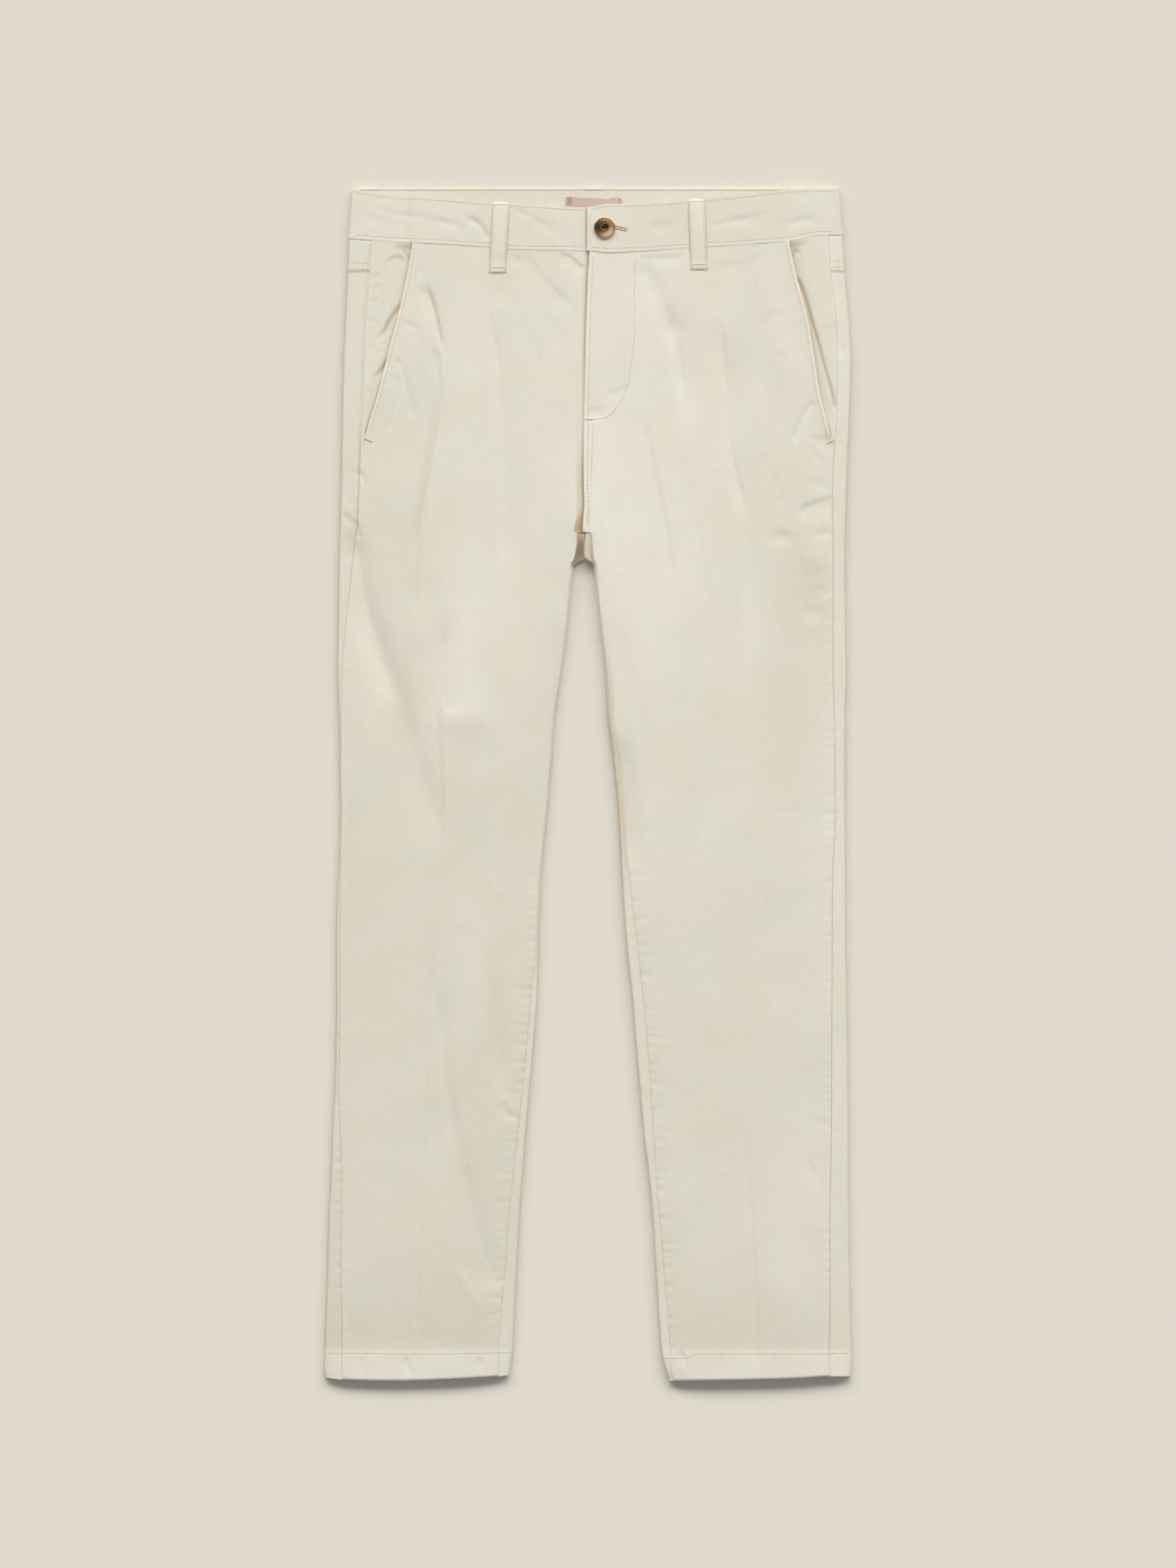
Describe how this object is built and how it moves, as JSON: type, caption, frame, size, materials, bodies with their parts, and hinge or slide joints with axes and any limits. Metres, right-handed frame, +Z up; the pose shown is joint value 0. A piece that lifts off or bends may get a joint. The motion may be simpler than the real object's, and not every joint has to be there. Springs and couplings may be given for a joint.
{
  "type": "cigarette trousers",
  "caption": "Slim cotton-twill trousers laid flat on their back, with slanted hip pockets, belt loops, a right-over-left fly and a metal waist button; to lie on a bed, shelf or shop table",
  "frame": {"origin": "middle of the garment's outline, on the surface it lies on", "axes": "+X to the side the fly's edge laps from (the viewer's right from above), +Y from the hems to the waist, +Z up from the surface"},
  "size_m": [0.4327, 0.9787, 0.0108],
  "materials": {
    "twill": "matte cotton twill",
    "band": "matte cotton twill, doubled",
    "inside": "matte cotton twill",
    "loop": "matte cotton twill, folded",
    "satin": "satin ribbon",
    "rose_metal": "polished rose-gold plating"
  },
  "bodies": {
    "root": {"front_left": "twill", "front_right": "twill", "back_left": "twill", "back_right": "twill", "yoke_left": "twill", "yoke_right": "twill", "waistband": "band", "fly_shield": "inside", "pocket_facing_left": "inside", "pocket_facing_right": "inside", "belt_loop_front_left": "loop", "belt_loop_front_right": "loop", "belt_loop_back_left": "loop", "belt_loop_back_centre": "loop", "belt_loop_back_right": "loop", "label": "satin", "button": "rose_metal"}
  },
  "joints": []
}
